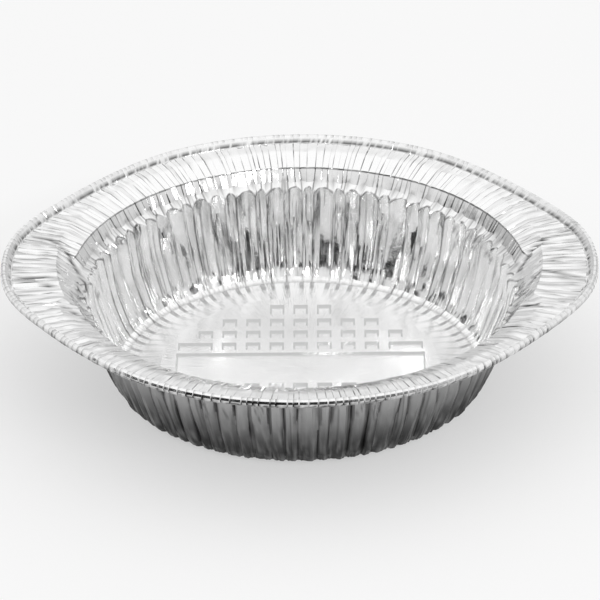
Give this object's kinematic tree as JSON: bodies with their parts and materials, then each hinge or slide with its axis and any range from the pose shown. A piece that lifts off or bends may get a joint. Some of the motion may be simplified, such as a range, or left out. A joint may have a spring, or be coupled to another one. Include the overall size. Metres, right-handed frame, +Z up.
{
  "type": "round foil pan",
  "caption": "Round disposable aluminium foil roasting pan with a fluted wall, a stepped collar, a rolled rim and wide flat ears.",
  "frame": {"origin": "middle of the base on the surface that the pan stands on", "axes": "+Z up out of the bowl, +X towards one ear, +Y across the pan"},
  "size_m": [0.355, 0.332, 0.076],
  "materials": {
    "foil": "bright thin rolled foil, pleated and lightly creased by the press"
  },
  "bodies": {
    "root": {"foil_pan": "foil"}
  },
  "joints": []
}
